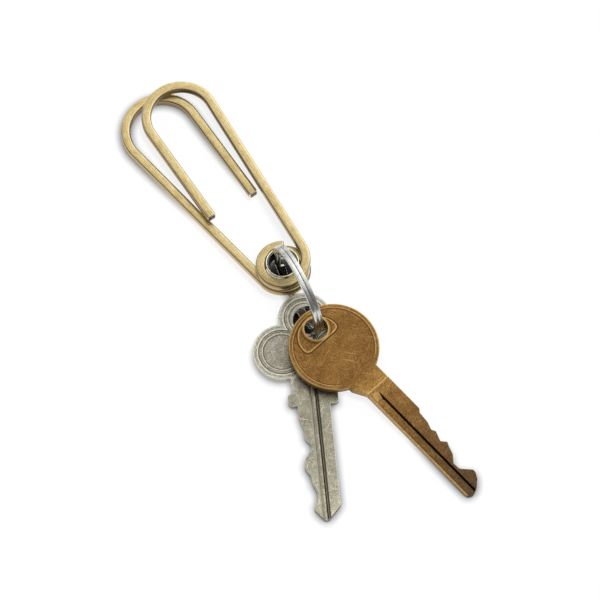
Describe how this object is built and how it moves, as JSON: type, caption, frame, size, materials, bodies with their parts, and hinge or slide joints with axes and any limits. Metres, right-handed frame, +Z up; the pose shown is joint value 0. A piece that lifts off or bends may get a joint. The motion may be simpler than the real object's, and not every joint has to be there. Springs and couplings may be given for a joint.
{
  "type": "belt key clip",
  "caption": "Belt key clip: a pair of square-bar brass hooks riveted at their eyes, with a split ring through the rivet and cut keys on the ring.",
  "frame": {"origin": "the middle of the bounding box's underside, on the surface that the object lies on", "axes": "+Y runs along the clip from the keys to the hooks' loops, +X to the right with the front hook on top, +Z up from the surface"},
  "size_m": [0.0458, 0.1356, 0.024],
  "materials": {
    "hook_brass": "satin, lightly worn, with darker side faces",
    "eyelet_brass": "polished rolled rim",
    "ring_steel": "bright plated spring steel",
    "key_nickel": "worn nickel plate over brass, finely scratched",
    "key_brass": "bare brass, browned with age"
  },
  "bodies": {
    "rear_hook": {"rear_hook": "hook_brass"},
    "front_hook": {"front_hook": "hook_brass"},
    "eyelet": {"eyelet": "eyelet_brass"},
    "key_ring": {"key_ring": "ring_steel"},
    "nickel_key": {"nickel_key": "key_nickel"},
    "brass_key": {"brass_key": "key_brass"}
  },
  "joints": [
    {"name": "hook_open", "type": "hinge", "parent": "rear_hook", "child": "front_hook", "pos_m": [0.00895, 0.00849, 0.006], "axis": [0, 0.0588, 0.9983], "range_deg": [-75, 0]},
    {"name": "eyelet_turn", "type": "hinge", "parent": "rear_hook", "child": "eyelet", "pos_m": [0.00895, 0.00849, 0.006], "axis": [0, 0.0588, 0.9983], "range_deg": [-30, 30]},
    {"name": "ring_swing", "type": "hinge", "parent": "eyelet", "child": "key_ring", "pos_m": [0.00895, 0.00849, 0.006], "axis": [0.9863, -0.165, 0], "range_deg": [-1, 60]},
    {"name": "nickel_key_turn", "type": "hinge", "parent": "key_ring", "child": "nickel_key", "pos_m": [0.0059, -0.00603, 0.0027], "axis": [-0.0174, -0.0288, 0.9994], "range_deg": [-35, 3]},
    {"name": "brass_key_turn", "type": "hinge", "parent": "key_ring", "child": "brass_key", "pos_m": [0.00522, -0.01032, 0.0063], "axis": [0.0111, -0.0904, 0.9958], "range_deg": [-3, 35]}
  ]
}
